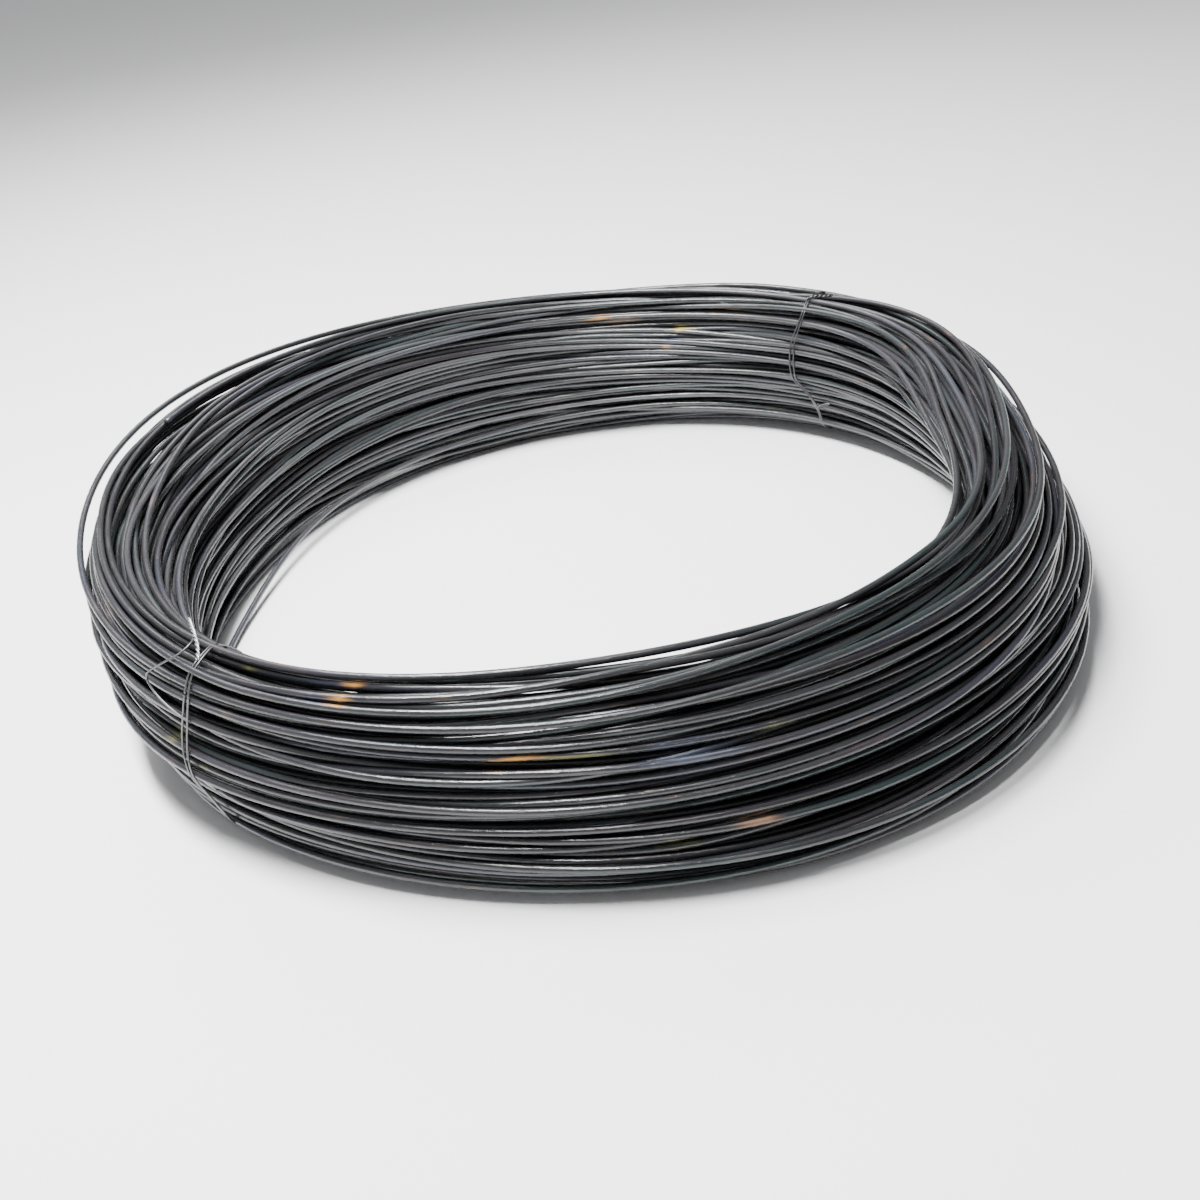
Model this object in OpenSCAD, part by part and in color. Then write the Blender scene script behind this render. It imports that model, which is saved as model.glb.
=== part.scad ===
// Coil of hot rolled wire rod, lying flat and held by two doubled tie wires.
// The rod is one continuous length wound round and round, so the coil is one
// turned body: its turns stand out as ridges on both ends and on both faces.
// Origin: centre of the eye, on the floor. +Z up. Millimetres.

/* [Rod] */
// Diameter of the rolled rod
rod_d = 6.5; // [5.5:0.5:8]
// Depth of the flats on the innermost turns, where they bear on a reel
reel_flat = 0.3; // [0.2:0.05:0.5]

/* [Coil] */
// Outside diameter of the coil
coil_od = 1010; // [940:5:1250]
// Diameter of the clear eye through the coil
eye_d = 820; // [600:5:860]
// Height of the coil as it lies
coil_h = 188; // [150:2:260]
// Radius of the shoulders at the top of the coil's section
top_round = 40; // [30:1:52]
// Radius of the edges at the foot of the coil's section
foot_round = 28; // [20:1:52]

/* [Tie wires] */
// Diameter of the soft tie wire
tie_d = 1.8; // [1.2:0.1:2.4]
// Gap between the two strands of a tie
strand_gap = 3; // [1:0.5:6]
// Clearance between a tie and the turns under and beside it
tie_clearance = 0.3; // [0.2:0.1:0.6]
// How far a tie lies below the crests of the turns beside it
tie_sink = 0.3; // [0.2:0.1:0.6]
// Direction of the front tie round the coil, in degrees
front_tie_at = 224; // [200:1:250]
// Direction of the back tie round the coil, in degrees
back_tie_at = 51; // [20:1:80]
// Length of the front tie's twisted end
front_twist_l = 30; // [15:1:40]
// Length of the back tie's twisted end
back_twist_l = 18; // [12:1:30]
// How far the front tie's loose tail swings out along the coil
tail_reach = 62; // [40:1:80]
// How far the front tie's loose tail hangs below the coil's shoulder
tail_drop = 45; // [20:1:60]

/* [Hidden] */
$fn = 48;

// Each turn is drawn with twelve sides, so that the many turns stay light
turn_sides = 12;

rod_r = rod_d / 2;
eye_r = eye_d / 2;
outer_r = coil_od / 2;
inner_x = eye_r - reel_flat;
band_w = outer_r - inner_x;

// The round edges stay clear of each other, with two turns between them
top_r = min(top_round, band_w / 2 - rod_d);
foot_r = min(foot_round, band_w / 2 - rod_d);

// Each tie lies in a slot between the turns
slot_w = 2 * tie_d + strand_gap + 2 * tie_clearance;
tie_inset = tie_sink + tie_d / 2;
seat_inset = tie_sink + tie_d + tie_clearance;
strand_y = (strand_gap + tie_d) / 2;

// A wire swells by this much where it is bent sharply
bend_swell = 1.15;

// A twisted end is two wires thick and lies over the shoulder's turns, with its
// swollen bends clear of them
twist_d = 2 * tie_d;
twist_lift = bend_swell * twist_d / 2 + tie_clearance;

// The bar that joins a tie's strands under its twist
bar_d = 1.3 * tie_d;
bar_overhang = tie_d / 4;
shoulder_angle = 52;

// The loose tail turns back at this share of its drop
tail_turn = 0.7;

// Lengths along the line that the outer turns' centres follow, anticlockwise
// from the foot: straights and quarter rounds in turn
wind_w = band_w - 2 * foot_r;
wind_top = band_w - 2 * top_r;
wind_h = coil_h - foot_r - top_r;
foot_arc = 90 * (foot_r - rod_r) * PI / 180;
top_arc = 90 * (top_r - rod_r) * PI / 180;
runs = [wind_w, foot_arc, wind_h, top_arc, wind_top, top_arc, wind_h, foot_arc];
function run_start(i) = i == 0 ? 0 : run_start(i - 1) + runs[i - 1];
wind_len = run_start(8);
ring_turns = ceil(wind_len / rod_d);

// A point on a quarter round, from its centre, radius, first angle and distance
function on_arc(centre, r, from, s) =
    let (a = from + s / r * 180 / PI)
    centre + r * [cos(a), sin(a)];

// Centre of the turn that lies a distance s along the outline
function turn_at(s, i = 0) =
    i < 7 && s >= run_start(i + 1) ? turn_at(s, i + 1) : on_run(i, s - run_start(i));

function on_run(i, s) =
    i == 0 ? [inner_x + foot_r + s, rod_r] :
    i == 1 ? on_arc([outer_r - foot_r, foot_r], foot_r - rod_r, -90, s) :
    i == 2 ? [outer_r - rod_r, foot_r + s] :
    i == 3 ? on_arc([outer_r - top_r, coil_h - top_r], top_r - rod_r, 0, s) :
    i == 4 ? [outer_r - top_r - s, coil_h - rod_r] :
    i == 5 ? on_arc([inner_x + top_r, coil_h - top_r], top_r - rod_r, 90, s) :
    i == 6 ? [inner_x + rod_r, coil_h - top_r - s] :
    on_arc([inner_x + foot_r, foot_r], foot_r - rod_r, 180, s);

// Direction in which the outline runs past the centre of a turn
function heading(s) =
    let (step = turn_at(s + rod_r / 2) - turn_at(s - rod_r / 2))
    atan2(step.y, step.x);

// The coil's outline, a given depth inside the crests of its turns
module outline(depth) {
    for (x = [inner_x + top_r, outer_r - top_r])
        translate([x, coil_h - top_r])
            circle(r = top_r - depth);
    for (x = [inner_x + foot_r, outer_r - foot_r])
        translate([x, foot_r])
            circle(r = foot_r - depth);
    translate([inner_x + depth, foot_r])
        square([band_w - 2 * depth, wind_h]);
    translate([inner_x + top_r, foot_r])
        square([wind_top, coil_h - foot_r - depth]);
    translate([inner_x + foot_r, depth])
        square([wind_w, coil_h - top_r - depth]);
}

// The eye is cleared to its full diameter over the whole height
module clear_of_eye() {
    difference() {
        children();
        translate([0, -rod_d])
            square([eye_r, coil_h + 2 * rod_d]);
    }
}

module wound_section() {
    clear_of_eye() {
        outline(rod_r);
        for (i = [0 : ring_turns - 1])
            let (s = (i + 0.5) * wind_len / ring_turns)
                translate(turn_at(s))
                    rotate([0, 0, heading(s)])
                        circle(d = rod_d, $fn = turn_sides);
    }
}

// The slot that a tie lies in: everything over its seat, cut straight across
module tie_slot() {
    margin = 3 * rod_d;
    rotate([90, 0, 0])
        translate([0, 0, -slot_w / 2])
            linear_extrude(slot_w)
                difference() {
                    translate([inner_x - margin, -margin])
                        square([band_w + 2 * margin, coil_h + 2 * margin]);
                    outline(seat_inset);
                }
}

module rod_coil() {
    color([0.16, 0.16, 0.17])
        difference() {
            rotate_extrude($fn = 180)
                wound_section();
            for (at = [front_tie_at, back_tie_at])
                rotate([0, 0, at])
                    tie_slot();
        }
}

// One strand round the coil's section, drawn flat: x outwards, y up
module strand() {
    top_bend = top_r - tie_inset;
    foot_bend = foot_r - tie_inset;
    bend(outer_r - foot_r, foot_r, foot_bend, 270);
    bend(outer_r - top_r, coil_h - top_r, top_bend, 0);
    bend(inner_x + top_r, coil_h - top_r, top_bend, 90);
    bend(inner_x + foot_r, foot_r, foot_bend, 180);
    for (x = [inner_x + tie_inset, outer_r - tie_inset])
        translate([x, foot_r, 0])
            rotate([-90, 0, 0])
                cylinder(d = tie_d, h = wind_h);
    translate([inner_x + top_r, coil_h - tie_inset, 0])
        rotate([0, 90, 0])
            cylinder(d = tie_d, h = wind_top);
    translate([inner_x + foot_r, tie_inset, 0])
        rotate([0, 90, 0])
            cylinder(d = tie_d, h = wind_w);
}

module bend(x, y, r, from) {
    translate([x, y, 0])
        rotate([0, 0, from])
            rotate_extrude(angle = 90)
                translate([r, 0])
                    circle(d = tie_d, $fn = 24);
}

// A point over the outer shoulder, lifted above its crests
function on_shoulder(a, lift, y) =
    [outer_r - top_r + (top_r + lift) * cos(a), y, coil_h - top_r + (top_r + lift) * sin(a)];

// A point beside the outer face, clear of the turns' crests
function on_side(y, z) =
    let (r = outer_r + tie_d)
    [sqrt(r * r - y * y), y, z];

// A straight length of wire from one point to another
module rod_between(a, b, d) {
    v = b - a;
    translate(a)
        rotate([0, acos(v.z / norm(v)), atan2(v.y, v.x)])
            cylinder(d = d, h = norm(v));
}

// The same, with a rounded bend at its far point
module stretch(a, b, d) {
    rod_between(a, b, d);
    translate(b)
        sphere(d = bend_swell * d);
}

// Both strands, the bar that joins them and the twisted end, facing +X
module tie_loop(twist_l) {
    for (y = [-strand_y, strand_y])
        translate([0, y, 0])
            rotate([90, 0, 0])
                strand();
    joint = on_shoulder(shoulder_angle, -tie_inset, 0);
    twist_foot = on_shoulder(shoulder_angle, twist_lift, 0);
    bar_end = [0, strand_y + bar_overhang, 0];
    rod_between(joint - bar_end, joint + bar_end, bar_d);
    rod_between(joint, twist_foot, tie_d);
    stretch(twist_foot, twist_foot - [0, twist_l, 0], twist_d);
}

// The loose tail leaves the twist, swings along the coil and comes back below
module loose_tail() {
    twist_end = on_shoulder(shoulder_angle, twist_lift, -front_twist_l);
    shoulder_turn = on_shoulder(shoulder_angle / 2, twist_lift, -tail_reach);
    side_z = coil_h - top_r;
    points = [
        twist_end,
        shoulder_turn,
        on_side(-tail_reach, side_z),
        on_side(-tail_reach / 2, side_z - tail_drop * tail_turn),
        on_side(-slot_w / 2, side_z - tail_drop)
    ];
    for (i = [1 : len(points) - 1])
        stretch(points[i - 1], points[i], tie_d);
}

module front_tie() {
    color([0.45, 0.45, 0.46])
        rotate([0, 0, front_tie_at]) {
            tie_loop(front_twist_l);
            loose_tail();
        }
}

module back_tie() {
    color([0.33, 0.33, 0.34])
        rotate([0, 0, back_tie_at])
            tie_loop(back_twist_l);
}

rod_coil();
front_tie();
back_tie();
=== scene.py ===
import math

import bpy
import numpy as np
from mathutils import Matrix, Vector


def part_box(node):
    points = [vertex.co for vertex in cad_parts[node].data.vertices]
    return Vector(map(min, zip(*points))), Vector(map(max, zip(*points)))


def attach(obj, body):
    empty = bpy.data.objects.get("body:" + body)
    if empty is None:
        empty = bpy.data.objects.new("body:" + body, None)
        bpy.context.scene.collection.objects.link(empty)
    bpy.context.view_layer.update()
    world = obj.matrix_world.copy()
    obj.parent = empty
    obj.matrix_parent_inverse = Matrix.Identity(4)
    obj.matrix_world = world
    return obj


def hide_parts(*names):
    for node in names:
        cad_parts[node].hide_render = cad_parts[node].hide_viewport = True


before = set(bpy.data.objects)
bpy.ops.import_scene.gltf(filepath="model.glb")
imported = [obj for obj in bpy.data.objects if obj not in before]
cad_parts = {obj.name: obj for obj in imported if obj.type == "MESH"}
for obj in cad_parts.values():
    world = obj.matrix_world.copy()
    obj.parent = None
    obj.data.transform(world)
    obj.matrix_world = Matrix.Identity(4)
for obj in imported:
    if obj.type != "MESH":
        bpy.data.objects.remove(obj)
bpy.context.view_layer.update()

coilLow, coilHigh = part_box("rod_coil")
outerRadius = (coilHigh[0] - coilLow[0]) / 2
coilHeight = coilHigh[2] - coilLow[2]
randoms = np.random.default_rng(41)
turnRound = 2 * math.pi
print("frame loaded: coil", round(2 * outerRadius, 3), "m across,", round(coilHeight, 3), "m high")

# What a user would change about the coil. Directions are degrees round the coil,
# anticlockwise from above; (out, up) pairs are metres away from the axis and the floor.
coil = {
    "rodDiameter": 0.0065,
    "turns": 190,
    "rim": 0.0597,          # from the coil's outer limit to the middle of the bundle
    "bundleWidth": 0.065,   # between the middles of the outermost turns
    "bundleHeight": 0.1725,
    "squareness": 2.4,      # of the bundle's section: 2 is an oval
    "lean": (-0.30, 0.12),  # how far the bundle lies over in x and y, for each metre up
    # lobes, and their shares of the radius by cosine and by sine
    "outOfRound": ((2, -0.0204, 0.0023), (3, -0.0051, -0.0091), (4, -0.011, 0)),
    "bulge": {"at": 43, "span": 36, "away": 0.022},  # where the whole bundle lies further out
    "rodEnd": 160,          # direction in which the last turn ends
    "segments": 168,        # of a turn's tube
    "sides": 10,
    "pieces": 5,            # that the rod's tube is cut into
}

# How turns stray from their places in the bundle. Changes are how often a turn takes
# a new direction on its way round.
wander = {
    "stray": 0.0062,            # of each turn by itself
    "strayChanges": 6.5,
    "sway": 0.0085,             # of neighbouring turns together
    "sways": 9,
    "swayLengths": (0.02, 0.07),    # metres across the bundle, shortest and longest
    "swayTightness": 2.2,
    "crossers": 7,              # every how many turns one crosses the others
    "crossing": 0.009,
    "crossingChanges": 2.5,
}

# How the turns settle against each other
settling = {
    "stations": 96,             # sections round the coil in which it is worked out
    "rounds": 90,
    "freeRounds": 25,           # the last ones, when sprung turns are free and none is pulled
    "pull": 0.06,               # share of the way back to its place, each round
    "push": 0.42,               # share of an overlap that each of two turns gives way
    "neighbours": 44,           # how many turns up a turn is kept apart from
    "closest": 1.01,            # rod diameters between the middles of touching turns
    "sideClearance": 0.0005,    # inside the coil's outer limits
    "topClearance": 0.0015,
    "overTie": 0.008,           # how far a tie draws the top down
    "underTie": 0.0004,         # clearance over the strands under the coil
    "cornerReach": 1.05,        # outer radii, where the square limits leave room
}

# Turns that spring free of the bundle: where, over how many degrees, which side of
# the bundle they are taken from, how many lie further out there, and how far they
# stand away.
looseTurns = [
    {"at": 128, "span": 40, "side": (0.8, 0.6), "beyond": 0, "away": (0.007, 0.004)},
    {"at": 140, "span": 34, "side": (0.9, 0.4), "beyond": 1, "away": (0.006, 0.002)},
    {"at": 118, "span": 36, "side": (0.5, 0.8), "beyond": 2, "away": (0.003, 0.004)},
    {"at": 152, "span": 30, "side": (0.9, 0.3), "beyond": 3, "away": (0.005, 0.001)},
    {"at": 30, "span": 30, "side": (0.7, 0.7), "beyond": 0, "away": (0.007, 0.002)},
    {"at": 22, "span": 26, "side": (0.7, 0.7), "beyond": 2, "away": (0.005, 0.001)},
    {"at": -8, "span": 28, "side": (1.0, -0.3), "beyond": 0, "away": (0.008, 0.0)},
    {"at": -14, "span": 24, "side": (0.9, -0.5), "beyond": 2, "away": (0.006, 0.0)},
    {"at": 286, "span": 40, "side": (-0.7, 0.7), "beyond": 0, "away": (-0.008, 0.001)},
    {"at": 276, "span": 34, "side": (-0.7, 0.7), "beyond": 1, "away": (-0.005, 0.001)},
    {"at": 262, "span": 28, "side": (-0.6, 0.8), "beyond": 2, "away": (-0.006, 0.002)},
    {"at": 172, "span": 30, "side": (-0.9, -0.5), "beyond": 0, "away": (-0.016, -0.002)},
]

# Stretches where one side of the bundle has relaxed and lies wider: the direction,
# the degrees to each side, the side of the bundle, and how far it lies away
fans = [
    {"at": 141, "span": 40, "side": (0.75, 0.65), "away": (0.032, 0.005)},
    {"at": 28, "span": 34, "side": (0.75, 0.65), "away": (0.020, 0.004)},
    {"at": -42, "span": 60, "side": (0.85, -0.5), "away": (0.022, 0.0)},
    {"at": 214, "span": 40, "side": (0.85, -0.5), "away": (0.030, 0.0)},
    {"at": -4, "span": 42, "side": (-0.85, 0.5), "away": (-0.036, 0.0)},
]

# Where neighbouring turns have drawn apart and leave a dark gap between them: which
# way round, over how many degrees, the gap's height there and its slope for each
# degree, how far it opens, how far that is felt, and 1 for the outer side or -1 for
# the inner
partings = [
    {"at": 284, "span": 62, "height": 0.133, "slope": 0.0002, "open": 0.0105, "reach": 0.016, "face": 1},
    {"at": 305, "span": 42, "height": 0.158, "slope": 0.0001, "open": 0.0080, "reach": 0.012, "face": 1},
    {"at": 298, "span": 36, "height": 0.075, "slope": 0.0006, "open": 0.0090, "reach": 0.014, "face": 1},
    {"at": 246, "span": 34, "height": 0.112, "slope": -0.0003, "open": 0.0040, "reach": 0.012, "face": 1},
    {"at": 188, "span": 30, "height": 0.100, "slope": -0.0012, "open": 0.0045, "reach": 0.014, "face": 1},
    {"at": 340, "span": 30, "height": 0.110, "slope": 0.0008, "open": 0.0050, "reach": 0.014, "face": 1},
    {"at": 100, "span": 36, "height": 0.070, "slope": 0.0004, "open": 0.0035, "reach": 0.012, "face": -1},
    {"at": 150, "span": 26, "height": 0.110, "slope": -0.0008, "open": 0.0035, "reach": 0.012, "face": -1},
]

# Each tie's route: degrees round the coil at places round the bundle's section,
# which are degrees from straight outwards, upwards first
ties = {
    "wireDiameter": 0.0019,
    "sides": 8,
    "strandGap": 0.0068,
    "closestShare": 0.36,   # of that gap, where the strands run closest
    "gapSpan": 75,          # degrees round the section over which the gap narrows
    "stops": 96,            # places round the section where a strand bears on the turns
    "smoothing": 4,         # a tight wire doesn't follow every dip between the turns
    "strandPoints": 260,
    "twistPoints": 90,
    "tailPoints": 120,
    "endsCloser": 0.25,     # share by which two twisted wires draw in at their cut ends
    "squeeze": 0.07,        # how much a tie draws the bundle together
    "squeezeSpan": 26,      # degrees to each side
    "front": {
        "at": 224,
        "route": {-60: 227, -20: 226, 5: 225.4, 30: 225.6, 60: 226.4, 85: 226.6, 110: 224.5,
                  180: 224, 240: 226},
        "widest": 30,       # where round the section its strands lie furthest apart
    },
    "back": {
        "at": 51,
        "route": {-60: 47, 0: 48, 98: 48.5, 112: 48, 134: 49.5, 190: 49.5, 215: 47, 240: 45.5},
        "widest": 160,
    },
}
rodRadius = coil["rodDiameter"] / 2
tieRadius = ties["wireDiameter"] / 2


def bump(degrees, centre, span):
    # 1 at the centre, falling smoothly to 0 at the span on both sides
    away = np.abs((degrees - centre + 180) % 360 - 180) / span
    return np.where(away < 1, 0.5 + 0.5 * np.cos(np.pi * np.minimum(away, 1)), 0)


def throughKnots(before, start, end, after, share):
    # smooth line from start to end that also heeds the knots around them
    bend = 3 * (start - end) + after - before
    curve = 2 * before - 5 * start + 4 * end - after + share * bend
    return start + 0.5 * share * (end - before + share * curve)


def distanceAlong(line):
    # metres from the start of a line to each of its points
    return np.concatenate([[0], np.cumsum(np.linalg.norm(np.diff(line, axis=0), axis=1))])


def slowNoise(count, spacing, size):
    # a random line that takes a new direction at each knot
    knots = randoms.normal(0, size, int(count / spacing) + 4)
    at = np.arange(count) / spacing
    i = at.astype(int)
    return throughKnots(knots[i], knots[i + 1], knots[i + 2], knots[i + 3], at - i)


def bundlePlaces():
    # where each turn belongs in the bundle's section: rows from the floor up, to and fro
    halfWidth, halfHeight = coil["bundleWidth"] / 2, coil["bundleHeight"] / 2
    power = coil["squareness"]
    mostAcross = 12         # turns to each side of the middle

    def rowsAt(pitch):
        step = pitch * math.sqrt(3) / 2
        count = int(2 * halfHeight / step)
        rows = []
        for i in range(count):
            up = (i - (count - 1) / 2) * step
            reach = halfWidth * (1 - abs(up / halfHeight) ** power) ** (1 / power)
            across = (np.arange(-mostAcross, mostAcross + 1) + (i % 2) / 2) * pitch
            across = across[np.abs(across) <= reach]
            rows += [(x, up) for x in (across[::-1] if i % 2 else across)]
        return np.array(rows)

    # close in on the widest pitch at which all the turns fit
    tight, wide = coil["rodDiameter"] / 2, coil["rodDiameter"] * 3
    for _ in range(40):
        pitch = (tight + wide) / 2
        if len(rowsAt(pitch)) >= coil["turns"]:
            tight = pitch
        else:
            wide = pitch
    return rowsAt(tight)[:coil["turns"]]


def ringMiddle(theta):
    # distance of the bundle's middle from the axis
    bulge = coil["bulge"]["away"] * bump(np.degrees(theta), coil["bulge"]["at"], coil["bulge"]["span"])
    radius = outerRadius - coil["rim"]
    lobes = sum(c * np.cos(n * theta) + s * np.sin(n * theta) for n, c, s in coil["outOfRound"])
    return bulge + radius * (1 + lobes)


def pushApart(place, apart):
    # turns that overlap in a section move away from each other
    order = np.argsort(place[..., 1], axis=0)[..., None]
    stack = np.take_along_axis(place, order, axis=0)
    move = np.zeros_like(stack)
    for k in range(1, settling["neighbours"]):
        gap = stack[k:] - stack[:-k]
        distance = np.hypot(gap[..., 0], gap[..., 1])
        overlap = np.where(distance < apart, apart - distance, 0) / np.maximum(distance, 1e-6)
        push = settling["push"] * overlap[..., None] * gap
        move[k:] += push
        move[:-k] -= push
    np.put_along_axis(place, order, stack + move, axis=0)


def smoothAlong(place):
    # the rod is stiff, so it takes no sharp bends
    line = place.reshape(-1, 2)
    smooth = line.copy()
    smooth[1:-1] = 0.5 * line[1:-1] + 0.25 * (line[:-2] + line[2:])
    place[:] = smooth.reshape(place.shape)


def freeTurn(place, loose):
    turns, stations = place.shape[:2]
    here = round((loose["at"] % 360) / 360 * stations) % stations
    side = place[:, here] @ np.array(loose["side"])
    first = np.argsort(-side)[loose["beyond"]] * stations + here
    reach = round(loose["span"] / 360 * stations)
    line = place.reshape(-1, 2)
    for i in range(max(first - reach, 0), min(first + reach, len(line) - 1) + 1):
        share = 0.5 + 0.5 * math.cos(math.pi * (i - first) / reach)
        line[i] += share * np.array(loose["away"])


def settleTurns():
    turns, stations = coil["turns"], settling["stations"]
    theta = np.arange(stations) * turnRound / stations
    degrees = np.degrees(theta)
    # each turn starts at its own place and comes round to the next turn's
    places = bundlePlaces()
    share = (np.arange(stations) / stations)[None, :, None]
    home = places[:, None] * (1 - share) + np.vstack([places[1:], places[-1:]])[:, None] * share
    spacing = stations / wander["strayChanges"]
    stray = [slowNoise(turns * stations, spacing, wander["stray"]) for _ in range(2)]
    home += np.stack(stray, -1).reshape(home.shape)
    for _ in range(wander["sways"]):
        wave = randoms.uniform(-1, 1, 2) / randoms.uniform(*wander["swayLengths"], 2)
        heading = randoms.uniform(0, turnRound)
        timesRound = randoms.integers(1, 6)
        start = randoms.uniform(0, turnRound)
        swing = np.cos(home @ wave * wander["swayTightness"] + timesRound * theta + start)
        sway = wander["sway"] / math.sqrt(wander["sways"])
        home += sway * swing[..., None] * np.array([math.cos(heading), math.sin(heading)])
    crossing = np.arange(turns) % wander["crossers"] == 0
    spacing = stations / wander["crossingChanges"]
    across = slowNoise(int(crossing.sum()) * stations, spacing, wander["crossing"])
    home[crossing, :, 1] += across.reshape(-1, stations)
    tied = sum(bump(degrees, ties[t]["at"], ties["squeezeSpan"]) for t in ("front", "back"))
    home *= (1 - ties["squeeze"] * tied)[None, :, None]
    for fan in fans:
        side = home @ np.array(fan["side"])
        # most of it on the outermost turns of that side
        outermost = np.percentile(side, 99)
        share = np.clip(side / outermost, 0, 1.2) ** 1.5 * bump(degrees, fan["at"], fan["span"])
        home += share[..., None] * np.array(fan["away"])
    for gap in partings:
        line = gap["height"] + gap["slope"] * ((degrees - gap["at"] + 180) % 360 - 180)
        over = home[..., 1] + coil["bundleHeight"] / 2 + rodRadius - line
        skin = np.clip(0.5 + gap["face"] * home[..., 0] / (0.5 * coil["bundleWidth"]), 0, 1)
        away = gap["open"] * np.sign(over) * np.exp(-np.abs(over) / gap["reach"])
        home[..., 1] += away * skin * bump(degrees, gap["at"], gap["span"])
    lean = coil["lean"][0] * np.cos(theta) + coil["lean"][1] * np.sin(theta)
    place = home.copy()
    place[..., 0] += ringMiddle(theta) + lean * home[..., 1]
    place[..., 1] += coil["bundleHeight"] / 2 + rodRadius
    target = place.copy()
    lowest = rodRadius + (2 * tieRadius + settling["underTie"]) * tied ** 0.5
    highest = coilHeight - rodRadius - settling["topClearance"] - settling["overTie"] * tied
    # the limit is square, and the coil keeps close to the round one inside it
    squareReach = outerRadius - rodRadius - settling["sideClearance"]
    widest = np.minimum(squareReach / np.maximum(abs(np.cos(theta)), abs(np.sin(theta))),
                        outerRadius * settling["cornerReach"])
    pulledRounds = settling["rounds"] - settling["freeRounds"]
    for i in range(settling["rounds"]):
        if i < pulledRounds:
            place += settling["pull"] * (target - place)
        elif i == pulledRounds:
            for loose in looseTurns:
                freeTurn(place, loose)
        smoothAlong(place)
        for _ in range(2):
            pushApart(place, coil["rodDiameter"] * settling["closest"])
            place[..., 1] = np.clip(place[..., 1], lowest, highest)
            place[..., 0] = np.minimum(place[..., 0], widest)
    return place


def threadRod(place):
    # one smooth line through the settled sections, and its direction round the coil
    turns, stations = place.shape[:2]
    line = place.reshape(-1, 2)
    line = np.vstack([2 * line[0] - line[1], line, 2 * line[-1] - line[-2]])
    count = int((turns - 1 + coil["rodEnd"] / 360) * coil["segments"])
    at = np.arange(count + 1) * stations / coil["segments"]
    i = at.astype(int)
    flat = throughKnots(line[i], line[i + 1], line[i + 2], line[i + 3], (at - i)[:, None])
    theta = at * turnRound / stations
    return np.stack([flat[:, 0] * np.cos(theta), flat[:, 0] * np.sin(theta), flat[:, 1]], -1)


place = settleTurns()
rodLine = threadRod(place)
rodDistance = distanceAlong(rodLine)
print("coil: one rod of", round(rodDistance[-1], 1), "m in", coil["turns"], "turns")


def meshPiece(name, points, faces):
    # faces are rows of corner numbers, all with four corners
    mesh = bpy.data.meshes.new(name)
    mesh.vertices.add(len(points))
    mesh.vertices.foreach_set("co", np.asarray(points, np.float32).ravel())
    mesh.loops.add(faces.size)
    mesh.loops.foreach_set("vertex_index", faces.ravel().astype(np.int32))
    mesh.polygons.add(len(faces))
    mesh.polygons.foreach_set("loop_start", np.arange(len(faces), dtype=np.int32) * 4)
    mesh.polygons.foreach_set("loop_total", np.full(len(faces), 4, np.int32))
    mesh.update(calc_edges=True)
    mesh.shade_smooth()
    piece = bpy.data.objects.new(name, mesh)
    bpy.context.scene.collection.objects.link(piece)
    return piece


def squareDirections(line, upright):
    # two directions at right angles to the line, at each of its points
    along = np.gradient(line, axis=0)
    along /= np.linalg.norm(along, axis=1)[:, None]
    side = np.cross(along, upright)
    side /= np.linalg.norm(side, axis=1)[:, None]
    return side, np.cross(side, along)


def sweep(line, radius, sides, upright=(0.0, 0.0, 1.0)):
    # rings of points round a line, and the faces between them
    side, top = squareDirections(line, upright)
    turn = np.arange(sides) * turnRound / sides
    ring = np.cos(turn)[None, :, None] * side[:, None] + np.sin(turn)[None, :, None] * top[:, None]
    points = (line[:, None] + ring * np.broadcast_to(radius, len(line))[:, None, None]).reshape(-1, 3)
    i = np.arange(len(line) - 1)[:, None] * sides
    j = np.arange(sides)[None, :]
    k = (j + 1) % sides
    faces = np.stack([i + j, i + sides + j, i + sides + k, i + k], -1).reshape(-1, 4)
    return points, faces, turn


def closeEnds(line, radius, atStart=True, atEnd=True):
    # a small ring past each end, so that a cut end shows as a flat face
    step, share = 0.02, 0.05
    width = np.full(len(line), radius)
    if atStart:
        line = np.vstack([line[0] + step * (line[0] - line[1]), line])
        width = np.append(radius * share, width)
    if atEnd:
        line = np.vstack([line, line[-1] + step * (line[-1] - line[-2])])
        width = np.append(width, radius * share)
    return line, width


def addCoordinate(piece, distance, turn, radius):
    # each point's place on its rod: metres along it, and where round it
    coordinate = np.stack([
        np.repeat(distance, len(turn)),
        np.tile(np.cos(turn) * radius, len(distance)),
        np.tile(np.sin(turn) * radius, len(distance)),
    ], -1).astype(np.float32)
    layer = piece.data.attributes.new("alongRod", "FLOAT_VECTOR", "POINT")
    layer.data.foreach_set("vector", coordinate.ravel())


def addStripMap(piece, rings, sides, strips):
    # the rod unrolled: each turn is a strip of the map, with room between the strips
    endRoom, edgeRoom = 0.002, 0.04
    perStrip = math.ceil((rings - 1) / strips)
    ring = np.arange(rings - 1)[:, None, None]
    side = np.arange(sides)[None, :, None]
    across = np.array([0, 0, 1, 1])[None, None, :]
    forward = np.array([0, 1, 1, 0])[None, None, :]
    strip = ring // perStrip
    u = (ring % perStrip + forward) / perStrip * (1 - 2 * endRoom) + endRoom + 0 * side
    v = (strip + edgeRoom + (1 - 2 * edgeRoom) * (side + across) / sides) / strips
    layer = piece.data.uv_layers.new(name="OFBake")
    layer.data.foreach_set("uv", np.stack([u, v + 0 * u], -1).astype(np.float32).ravel())


markColours = {
    "orange": (0.50, 0.23, 0.03),
    "yellow": (0.36, 0.28, 0.07),
    "rustBrown": (0.16, 0.08, 0.04),
    "tan": (0.22, 0.16, 0.11),
    "olive": (0.13, 0.13, 0.04),
    "blue": (0.035, 0.05, 0.09),
    "rose": (0.11, 0.075, 0.07),
}

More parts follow.
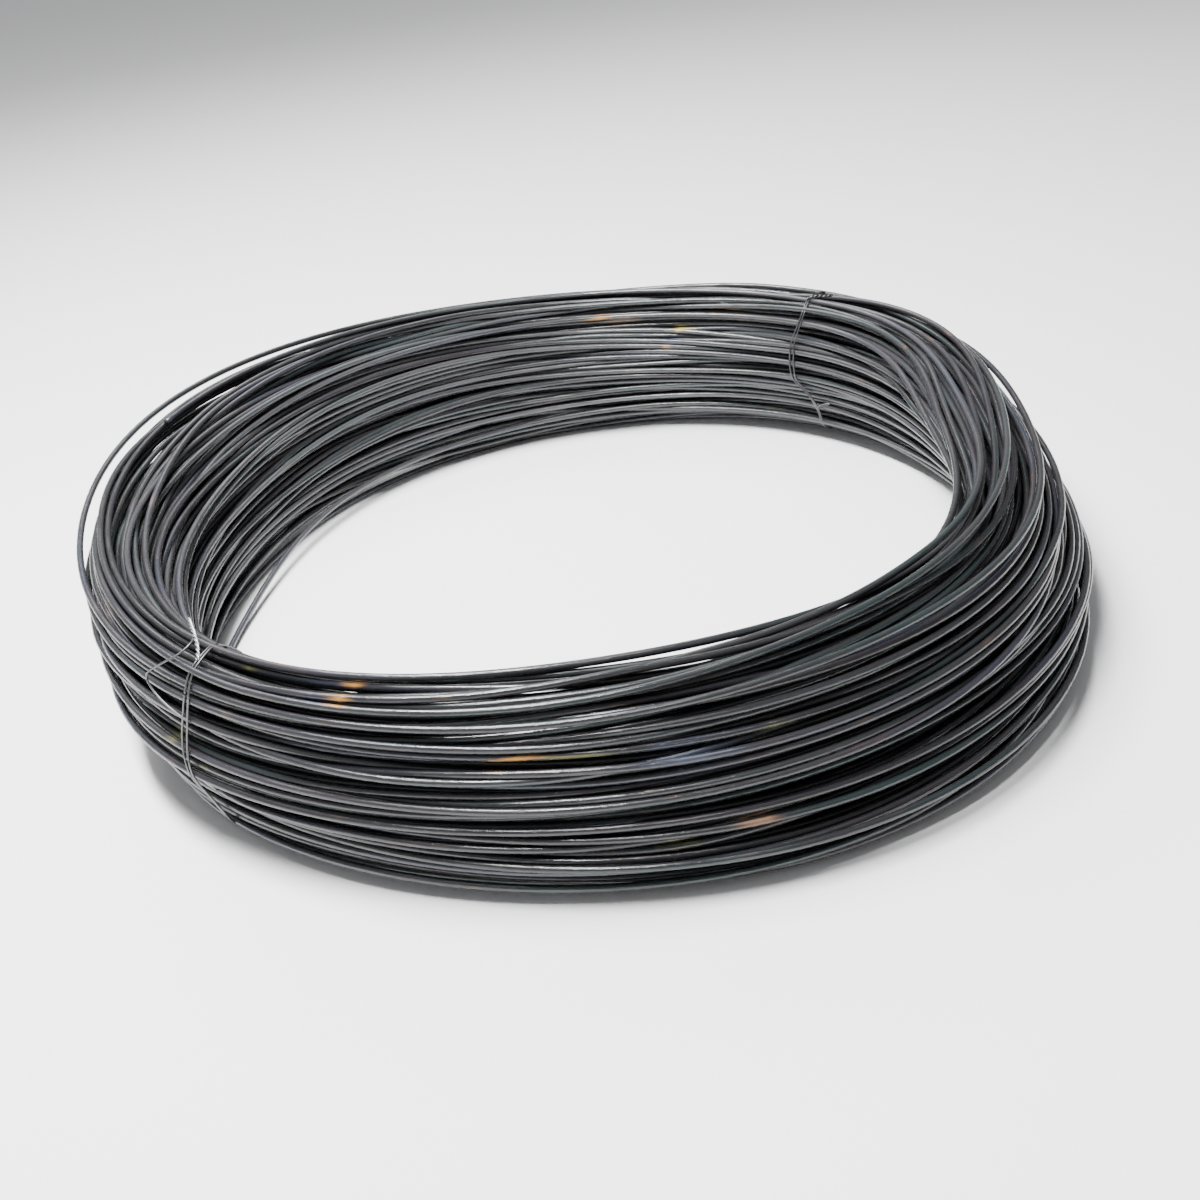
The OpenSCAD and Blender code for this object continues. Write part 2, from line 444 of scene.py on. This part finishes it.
# Marks of paint, rust and heat: direction in degrees, height, half length in degrees,
# half width, colour, strength, and 1 for the outer side of the coil, -1 for the inner
# or 0 for both. A strength over 1 makes the middle of a mark more solid.
marks = [
    (244, 0.171, 1.3, 0.0026, "orange", 1.3, 0),
    (241, 0.171, 2.0, 0.004, "blue", 0.5, 0),
    (259.5, 0.128, 2.0, 0.0034, "orange", 1.35, 1),
    (262, 0.133, 1.5, 0.0020, "orange", 1.0, 1),
    (266, 0.130, 3.5, 0.003, "olive", 0.95, 1),
    (285, 0.125, 1.8, 0.004, "olive", 0.6, 1),
    (277, 0.122, 5.0, 0.012, "blue", 0.5, 1),
    (282, 0.060, 1.8, 0.003, "rustBrown", 1.1, 1),
    (275, 0.050, 2.0, 0.004, "olive", 0.5, 1),
    (223, 0.105, 1.0, 0.005, "olive", 0.95, 1),
    (228, 0.090, 1.2, 0.004, "olive", 0.95, 1),
    (231, 0.143, 1.2, 0.004, "tan", 0.7, 1),
    (236, 0.140, 1.0, 0.003, "tan", 0.7, 1),
    (232, 0.168, 1.0, 0.004, "olive", 0.9, -1),
    (80, 0.146, 3.0, 0.007, "tan", 0.85, -1),
    (84, 0.152, 1.6, 0.002, "orange", 1.1, -1),
    (64, 0.157, 3.0, 0.0018, "orange", 1.2, -1),
    (70, 0.134, 1.2, 0.003, "yellow", 1.2, -1),
    (72, 0.122, 1.6, 0.004, "blue", 0.8, -1),
    (73.5, 0.115, 0.9, 0.002, "orange", 1.1, -1),
    (56, 0.160, 1.6, 0.005, "olive", 0.45, -1),
    (21, 0.178, 1.0, 0.002, "rustBrown", 0.7, 0),
    (179, 0.167, 1.6, 0.006, "rose", 0.6, 0),
    (184, 0.152, 1.6, 0.006, "rose", 0.6, 0),
    (205, 0.160, 2.0, 0.006, "rose", 0.5, 1),
]


def markedColours(points):
    # colour and strength of the marks on the rod: a mark is full out to half its size,
    # and gone at one and a half
    colours = np.zeros((len(points), 4), np.float32)
    theta = np.arctan2(points[:, 1], points[:, 0])
    beyond = np.hypot(points[:, 0], points[:, 1]) - ringMiddle(theta)
    for at, height, length, reach, colour, strength, face in marks:
        sideways = ((np.degrees(theta) - at + 180) % 360 - 180) / length
        away = np.hypot(sideways, (points[:, 2] - height) / reach)
        share = strength * np.clip(1.5 - away, 0, 1) * (beyond * face >= 0)
        more = share > colours[:, 3]
        colours[more, :3] = markColours[colour]
        colours[more, 3] = share[more]
    return colours


# Painted light and shade: the scale is painted paler towards one direction round the coil and on
# the inner side, where more light falls, and darker elsewhere: the direction round the coil, the least
# share anywhere, and the share of the outer side
paintedLightSide = {"towards": 112, "least": 0.12, "outerSide": 0.3}


# painted light: how much paler each point of the rod is painted, most towards one side of the coil and on
# the inner side
def paintedLightShare(points):
    theta = np.arctan2(points[:, 1], points[:, 0])
    beyond = np.hypot(points[:, 0], points[:, 1]) - ringMiddle(theta)
    inner = np.clip(0.5 - beyond / coil["bundleWidth"], 0, 1)
    toward = 0.5 + 0.5 * np.cos(theta - math.radians(paintedLightSide["towards"]))
    least, outerSide = paintedLightSide["least"], paintedLightSide["outerSide"]
    return least + (1 - least) * toward * (outerSide + (1 - outerSide) * inner)


def rodPiece(name, first, last):
    line, width = closeEnds(rodLine[first:last + 1], rodRadius, first == 0, last == len(rodLine) - 1)
    points, faces, turn = sweep(line, width, coil["sides"])
    piece = meshPiece(name, points, faces)
    addCoordinate(piece, rodDistance[first] + distanceAlong(line), turn, rodRadius)
    layer = piece.data.attributes.new("marks", "FLOAT_COLOR", "POINT")
    layer.data.foreach_set("color", markedColours(points).ravel())
    # painted light: the share of paler scale painted at each point, standing in for the light falling more
    # on one side
    layer = piece.data.attributes.new("paintedLight", "FLOAT", "POINT")
    layer.data.foreach_set("value", paintedLightShare(points).astype(np.float32))
    addStripMap(piece, len(line), coil["sides"], math.ceil((last - first) / coil["segments"]))
    return piece


def newNode(tree, kind, spot, values=None, **settings):
    # values are sockets to link from, or plain values
    node = tree.nodes.new("ShaderNode" + kind)
    node.location = spot
    for key, value in settings.items():
        setattr(node, key, value)
    for key, value in (values or {}).items():
        if isinstance(value, bpy.types.NodeSocket):
            tree.links.new(value, node.inputs[key])
        else:
            node.inputs[key].default_value = value
    return node


def mixColours(tree, spot, share, first, second):
    return newNode(tree, "Mix", spot, {0: share, 6: first, 7: second}, data_type="RGBA").outputs[2]


def times(tree, spot, value, factor, plus=None):
    # value times factor, and something more
    values = {0: value, 1: factor} if plus is None else {0: value, 1: factor, 2: plus}
    operation = "MULTIPLY" if plus is None else "MULTIPLY_ADD"
    return newNode(tree, "Math", spot, values, operation=operation).outputs[0]


def makeStreaks():
    # noise drawn out along a rod or wire, as rolling and drawing leave it
    group = bpy.data.node_groups.new("drawnStreaks", "ShaderNodeTree")
    for name, kind in (("Coordinate", "Vector"), ("Length", "Float"), ("Width", "Float"),
                       ("Dark Below", "Float"), ("Full Above", "Float")):
        group.interface.new_socket(name=name, in_out="INPUT", socket_type="NodeSocket" + kind)
    group.interface.new_socket(name="Streak", in_out="OUTPUT", socket_type="NodeSocketFloat")
    source = group.nodes.new("NodeGroupInput")
    source.location = (-900, 0)
    size = newNode(group, "CombineXYZ", (-700, -80), {
        "X": source.outputs["Length"], "Y": source.outputs["Width"], "Z": source.outputs["Width"]})
    scaled = newNode(group, "VectorMath", (-520, 0), {0: source.outputs["Coordinate"], 1: size.outputs[0]},
                     operation="DIVIDE")
    noise = newNode(group, "TexNoise", (-340, 0), {
        "Vector": scaled.outputs[0], "Scale": 1, "Detail": 3, "Roughness": 0.55})
    shade = newNode(group, "MapRange", (-140, 0), {
        "Value": noise.outputs["Fac"], "From Min": source.outputs["Dark Below"],
        "From Max": source.outputs["Full Above"]}, interpolation_type="SMOOTHSTEP")
    end = group.nodes.new("NodeGroupOutput")
    end.location = (60, 0)
    group.links.new(shade.outputs[0], end.inputs["Streak"])
    return group


drawnStreaks = makeStreaks()


def streak(tree, spot, coordinate, length, width, low, high):
    node = tree.nodes.new("ShaderNodeGroup")
    node.node_tree = drawnStreaks
    node.location = spot
    tree.links.new(coordinate, node.inputs["Coordinate"])
    for key, value in (("Length", length), ("Width", width), ("Dark Below", low), ("Full Above", high)):
        node.inputs[key].default_value = value
    return node.outputs["Streak"]


rodFinish = {
    "darkScale": (0.005, 0.005, 0.0062, 1),
    "greyScale": (0.026, 0.027, 0.030, 1),
    # pale scale, shown along the long streaks and, as painted light, mostly towards the lit side
    "bloomAndPaintedLight": (0.125, 0.127, 0.135, 1),
    "heatTints": (
        (0.0, (0.014, 0.032, 0.031, 1)),
        (0.25, (0.024, 0.024, 0.026, 1)),
        (0.65, (0.024, 0.024, 0.026, 1)),
        (0.82, (0.036, 0.026, 0.032, 1)),
        (1.0, (0.024, 0.030, 0.050, 1)),
    ),
    "tintShare": 0.45,
    "rust": (0.10, 0.05, 0.025, 1),
    "rustShare": 0.35,
    "metallic": 0.25,
    "smooth": 0.14,
    "rough": 0.36,
    "ior": 1.58,
    "relief": 0.35,
    "reliefDepth": 0.00025,
    "flakeRelief": 0.8,     # against the fine streaks
    # streaks: length and width in metres, dark below and full above
    "fine": (0.05, 0.0016, 0.34, 0.68),
    "patches": (0.45, 0.010, 0.34, 0.66),
    "lengths": (1.6, 0.03, 0.35, 0.65),
    "flakes": (0.007, 0.0026, 0.56, 0.66),
    "rusting": (0.035, 0.004, 0.62, 0.74),
    # marks: how flakes and streaks break them up, and their own finish
    "markFlakes": 0.25,
    "markStreaks": -0.55,
    "markFull": 0.8,
    "markCover": 0.9,
    "markMetallic": 0.1,
    "markRoughness": 0.2,   # more than the scale's
}


def rodMaterial():
    material = bpy.data.materials.new("millScale")
    material.use_nodes = True
    tree = material.node_tree
    shader = tree.nodes["Principled BSDF"]
    where = newNode(tree, "Attribute", (-1700, 0), attribute_name="alongRod").outputs["Vector"]
    mark = newNode(tree, "Attribute", (-1700, -700), attribute_name="marks")
    # painted light: paler towards one side of the coil and on the inner side
    paintedLight = newNode(tree, "Attribute", (-1700, 200), attribute_name="paintedLight").outputs["Fac"]
    fine = streak(tree, (-1400, 300), where, *rodFinish["fine"])
    patches = streak(tree, (-1400, 100), where, *rodFinish["patches"])
    lengths = streak(tree, (-1400, -100), where, *rodFinish["lengths"])
    flakes = streak(tree, (-1400, -300), where, *rodFinish["flakes"])
    rusting = streak(tree, (-1400, -500), where, *rodFinish["rusting"])
    colour = mixColours(tree, (-1100, 300), fine, rodFinish["darkScale"], rodFinish["greyScale"])
    # pale scale along the long streaks: partly the scale's own tone, and partly painted light, as it shows
    # mostly where the painted light share is high
    pale = times(tree, (-1100, 60), lengths, paintedLight)
    colour = mixColours(tree, (-900, 300), pale, colour, rodFinish["bloomAndPaintedLight"])
    ramp = newNode(tree, "ValToRGB", (-1100, -120), {"Fac": patches})
    steps = ramp.color_ramp.elements
    while len(steps) < len(rodFinish["heatTints"]):
        steps.new(0.5)
    for step, (at, tint) in zip(steps, rodFinish["heatTints"]):
        step.position, step.color = at, tint
    colour = mixColours(tree, (-700, 300), rodFinish["tintShare"], colour, ramp.outputs["Color"])
    rusty = times(tree, (-700, 60), rusting, rodFinish["rustShare"])
    colour = mixColours(tree, (-500, 300), rusty, colour, rodFinish["rust"])
    # a mark is solid in its middle and breaks up along streaks at its edges
    ragged = times(tree, (-1100, -600), flakes, rodFinish["markFlakes"], mark.outputs["Alpha"])
    edge = times(tree, (-900, -600), fine, rodFinish["markStreaks"], ragged)
    marked = newNode(tree, "MapRange", (-700, -600), {
        "Value": edge, "From Max": rodFinish["markFull"], "To Max": rodFinish["markCover"]}).outputs[0]
    colour = mixColours(tree, (-300, 300), marked, colour, mark.outputs["Color"])
    metal = newNode(tree, "MapRange", (-300, -300), {
        "Value": marked, "To Min": rodFinish["metallic"], "To Max": rodFinish["markMetallic"]}).outputs[0]
    roughness = newNode(tree, "MapRange", (-500, 0), {
        "Value": fine, "To Min": rodFinish["rough"], "To Max": rodFinish["smooth"]}).outputs[0]
    roughness = times(tree, (-300, 0), marked, rodFinish["markRoughness"], roughness)
    relief = times(tree, (-700, -300), flakes, rodFinish["flakeRelief"], fine)
    bumps = newNode(tree, "Bump", (-500, -300), {
        "Strength": rodFinish["relief"], "Distance": rodFinish["reliefDepth"], "Height": relief})
    shader.inputs["IOR"].default_value = rodFinish["ior"]
    tree.links.new(colour, shader.inputs["Base Color"])
    tree.links.new(metal, shader.inputs["Metallic"])
    tree.links.new(roughness, shader.inputs["Roughness"])
    tree.links.new(bumps.outputs[0], shader.inputs["Normal"])
    return material


wireFinishes = {
    "greyWire": {
        "dark": (0.07, 0.07, 0.07, 1), "light": (0.22, 0.22, 0.225, 1), "smooth": 0.34, "rough": 0.5},
    "brightWire": {
        "dark": (0.35, 0.35, 0.36, 1), "light": (0.72, 0.72, 0.73, 1), "smooth": 0.2, "rough": 0.36},
    "dullWire": {
        "dark": (0.05, 0.05, 0.052, 1), "light": (0.16, 0.16, 0.165, 1), "smooth": 0.36, "rough": 0.55},
}

# Streaks drawn along every tie wire: length and width in metres, dark below and full
# above; and the relief they leave
wireStreaks = {
    "fine": (0.012, 0.0006, 0.35, 0.65),
    "spots": (0.03, 0.003, 0.4, 0.6),
    "spotShare": 0.4,
    "metallic": 0.9,
    "relief": 0.3,
    "reliefDepth": 0.0001,
}


def wireMaterial(name):
    finish = wireFinishes[name]
    material = bpy.data.materials.new(name)
    material.use_nodes = True
    tree = material.node_tree
    shader = tree.nodes["Principled BSDF"]
    where = newNode(tree, "Attribute", (-1100, 0), attribute_name="alongRod").outputs["Vector"]
    fine = streak(tree, (-800, 200), where, *wireStreaks["fine"])
    spots = streak(tree, (-800, -100), where, *wireStreaks["spots"])
    colour = mixColours(tree, (-500, 200), fine, finish["dark"], finish["light"])
    darker = times(tree, (-500, -40), spots, wireStreaks["spotShare"])
    colour = mixColours(tree, (-300, 200), darker, colour, finish["dark"])
    roughness = newNode(tree, "MapRange", (-300, -60), {
        "Value": spots, "To Min": finish["smooth"], "To Max": finish["rough"]})
    bumps = newNode(tree, "Bump", (-300, -300), {
        "Strength": wireStreaks["relief"], "Distance": wireStreaks["reliefDepth"], "Height": fine})
    shader.inputs["Metallic"].default_value = wireStreaks["metallic"]
    tree.links.new(colour, shader.inputs["Base Color"])
    tree.links.new(roughness.outputs[0], shader.inputs["Roughness"])
    tree.links.new(bumps.outputs[0], shader.inputs["Normal"])
    return material


millScale = rodMaterial()
greyWire, brightWire, dullWire = (wireMaterial(name) for name in wireFinishes)
print("materials made")

perPiece = math.ceil(coil["turns"] / coil["pieces"]) * coil["segments"]
for i in range(coil["pieces"]):
    first, last = i * perPiece, min((i + 1) * perPiece, len(rodLine) - 1)
    piece = rodPiece(f"rod_turns_{i + 1}", first, last)
    piece.data.materials.append(millScale)
    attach(piece, "root")
    if i == 0:
        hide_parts("rod_coil")
print("coil: tubes made")


def sectionAt(degrees):
    # where every turn passes a direction round the coil
    stations = settling["stations"]
    at = degrees % 360 / 360 * stations
    i = int(at)
    line = np.vstack([place.reshape(-1, 2), place[-1:, -1]])
    return line[i:-1:stations] * (1 - at + i) + line[i + 1::stations][:coil["turns"]] * (at - i)


def wrapPoint(degrees, around, lift):
    # a point on a string drawn tight round the bundle, and lifted off it
    section = sectionAt(degrees)
    middle = (section.min(0) + section.max(0)) / 2
    facing = np.arange(0, 360, 2) * math.pi / 180
    outward = np.stack([np.cos(facing), np.sin(facing)], -1)
    reach = ((section - middle) @ outward.T).max(0) + rodRadius + lift
    slant = np.cos(facing - math.radians(around))
    faced = slant > 0.1
    length = (reach[faced] / slant[faced]).min()
    radius = middle[0] + length * math.cos(math.radians(around))
    up = middle[1] + length * math.sin(math.radians(around))
    headroom = 2.4 * tieRadius  # a twisted end is two wires thick
    up = min(max(up, tieRadius), coilHeight - headroom)
    theta = math.radians(degrees)
    return np.array([radius * math.cos(theta), radius * math.sin(theta), up])


def smoothLine(points, count):
    # a curve through the points, as many evenly spread places as asked
    points = np.asarray(points, float)
    padded = np.vstack([2 * points[0] - points[1], points, 2 * points[-1] - points[-2]])
    at = np.linspace(0, len(points) - 1 - 1e-6, count)
    i = at.astype(int)
    line = throughKnots(padded[i], padded[i + 1], padded[i + 2], padded[i + 3], (at - i)[:, None])
    run = distanceAlong(line)
    even = np.linspace(0, run[-1], count)
    return np.stack([np.interp(even, run, line[:, k]) for k in range(3)], -1)


slanting = (0.31, 0.17, 0.93)  # a direction in which no tie wire runs


def wirePiece(name, line, material):
    line, width = closeEnds(line, tieRadius)
    points, faces, turn = sweep(line, width, ties["sides"], slanting)
    piece = meshPiece(name, points, faces)
    addCoordinate(piece, distanceAlong(line), turn, tieRadius)
    piece.data.materials.append(material)
    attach(piece, "root")
    return piece


def tieStrands(which, material):
    tie = ties[which]
    route = sorted(tie["route"].items())
    around = np.linspace(0, 360, ties["stops"] + 1)
    degrees = np.interp(around, [a for a, _ in route], [d for _, d in route], period=360)
    closest = ties["closestShare"]
    share = closest + (1 - closest) * bump(around, tie["widest"], ties["gapSpan"])
    for number, side in enumerate((-1, 1)):
        apart = side * ties["strandGap"] / 2 / outerRadius * 180 / math.pi
        line = [wrapPoint(d + apart * c, a, tieRadius) for d, a, c in zip(degrees, around, share)]
        line = np.array(line[:-1])
        for _ in range(ties["smoothing"]):
            line = 0.5 * line + 0.25 * (np.roll(line, 1, 0) + np.roll(line, -1, 0))
        line = smoothLine(np.vstack([line, line[:1]]), ties["strandPoints"])
        wirePiece(f"{which}_tie_strand_{number + 1}", line, material)
    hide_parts(which + "_tie")


def twistedPair(name, route, turns, material):
    # two wires twisted together
    line = smoothLine([wrapPoint(*stop) for stop in route], ties["twistPoints"])
    side, top = squareDirections(line, slanting)
    twist = np.linspace(0, turns * turnRound, len(line))
    spread = tieRadius * (1 - ties["endsCloser"] * np.linspace(0, 1, len(line)) ** 4)
    for number in (0, 1):
        angle = (twist + number * math.pi)[:, None]
        wire = line + spread[:, None] * (np.cos(angle) * side + np.sin(angle) * top)
        wirePiece(f"{name}_{number + 1}", wire, material)


# Routes of the loose ends: degrees round the coil, place round the section in degrees
# from straight outwards, and lift off the turns
frontTwist = [(226.6, 80, 0.0018), (225.3, 86, 0.003), (223.4, 91, 0.006), (221.4, 95, 0.009),
              (220.4, 97, 0.010)]
frontTail = [(222.4, 93, 0.007), (223.6, 90, 0.004), (224.2, 84, 0.003), (223.9, 77, 0.003),
             (222.6, 69, 0.005), (221.2, 62, 0.007), (220.9, 58, 0.007), (221.6, 54, 0.005),
             (223.0, 50, 0.003), (224.8, 47, 0.002), (226.4, 45, 0.0016)]
backCrownTwist = [(48.6, 100, 0.0018), (47.6, 97, 0.003), (46.2, 93, 0.003), (45.2, 90, 0.004)]
backFootTwist = [(45.6, 232, 0.0015), (44.8, 228, 0.002), (43.8, 224, 0.002), (43.0, 222, 0.002)]

tieStrands("front", greyWire)
twistedPair("front_tie_twist", frontTwist, 5, brightWire)
tailLine = smoothLine([wrapPoint(*stop) for stop in frontTail], ties["tailPoints"])
wirePiece("front_tie_tail", tailLine, greyWire)
tieStrands("back", dullWire)
twistedPair("back_tie_crown_twist", backCrownTwist, 3, dullWire)
twistedPair("back_tie_foot_twist", backFootTwist, 3, dullWire)
print("ties made")

view = {
    "elevation": 29.63,
    "distance": 1.586,
    "frameWidths": 1.239833,  # focal length as a share of the frame's width
    "aim": (0.0042, 0.0, -0.0084),
    "roll": -6.985,
}


def addCamera():
    elevation, roll = math.radians(view["elevation"]), math.radians(view["roll"])
    forward = Vector((0, math.cos(elevation), -math.sin(elevation)))
    right = Vector((1, 0, 0))
    up = right.cross(forward)
    across = math.cos(roll) * right + math.sin(roll) * up
    upright = -math.sin(roll) * right + math.cos(roll) * up
    camera = bpy.data.objects.new("camera", bpy.data.cameras.new("camera"))
    camera.data.sensor_width = 36
    camera.data.lens = camera.data.sensor_width * view["frameWidths"]
    camera.data.clip_start = 0.05
    spot = Vector(view["aim"]) - forward * view["distance"]
    rows = [[across[i], upright[i], -forward[i], spot[i]] for i in range(3)]
    camera.matrix_world = Matrix(rows + [[0, 0, 0, 1]])
    bpy.context.scene.collection.objects.link(camera)
    bpy.context.scene.camera = camera


studio = {
    "floorSize": 40,
    "floorShade": 0.96,
    "topLight": {"spot": (-0.6, -0.25, 2.4), "size": (1.9, 0.4), "power": 270},
    "backLight": {"spot": (-0.7, 1.9, 2.2), "size": (2.4, 1.0), "power": 60},
    "lightAim": (0, 0, 0.08),
    "skyColour": (0.97, 0.98, 1.0, 1),
    "skyLeft": 0.62,        # brightness of the sky at the left and at the right
    "skyRight": 0.22,
}


def addFloor():
    bpy.ops.mesh.primitive_plane_add(size=studio["floorSize"], location=(0, 0, 0))
    floor = bpy.context.object
    floor.name = "floor"
    paint = bpy.data.materials.new("paleFloor")
    paint.use_nodes = True
    shader = paint.node_tree.nodes["Principled BSDF"]
    shader.inputs["Base Color"].default_value = [studio["floorShade"]] * 3 + [1]
    shader.inputs["Roughness"].default_value = 0.8
    floor.data.materials.append(paint)


def addSoftLight(name):
    light = studio[name]
    lamp = bpy.data.lights.new(name, "AREA")
    lamp.shape = "RECTANGLE"
    lamp.size, lamp.size_y = light["size"]
    lamp.energy = light["power"]
    holder = bpy.data.objects.new(name, lamp)
    holder.location = light["spot"]
    toCoil = Vector(studio["lightAim"]) - Vector(light["spot"])
    holder.rotation_euler = toCoil.to_track_quat("-Z", "Y").to_euler()
    bpy.context.scene.collection.objects.link(holder)


def addSky():
    world = bpy.data.worlds.new("studio")
    world.use_nodes = True
    tree = world.node_tree
    direction = newNode(tree, "TexCoord", (-800, 0)).outputs["Generated"]
    across = newNode(tree, "SeparateXYZ", (-600, 0), {0: direction}).outputs["X"]
    shade = newNode(tree, "MapRange", (-400, 0), {
        "Value": across, "From Min": -1.0, "From Max": 1.0,
        "To Min": studio["skyLeft"], "To Max": studio["skyRight"]})
    tree.nodes["Background"].inputs["Color"].default_value = studio["skyColour"]
    tree.links.new(shade.outputs[0], tree.nodes["Background"].inputs["Strength"])
    bpy.context.scene.world = world


addCamera()
addFloor()
addSoftLight("topLight")
addSoftLight("backLight")
addSky()
print("camera, floor and lights placed")
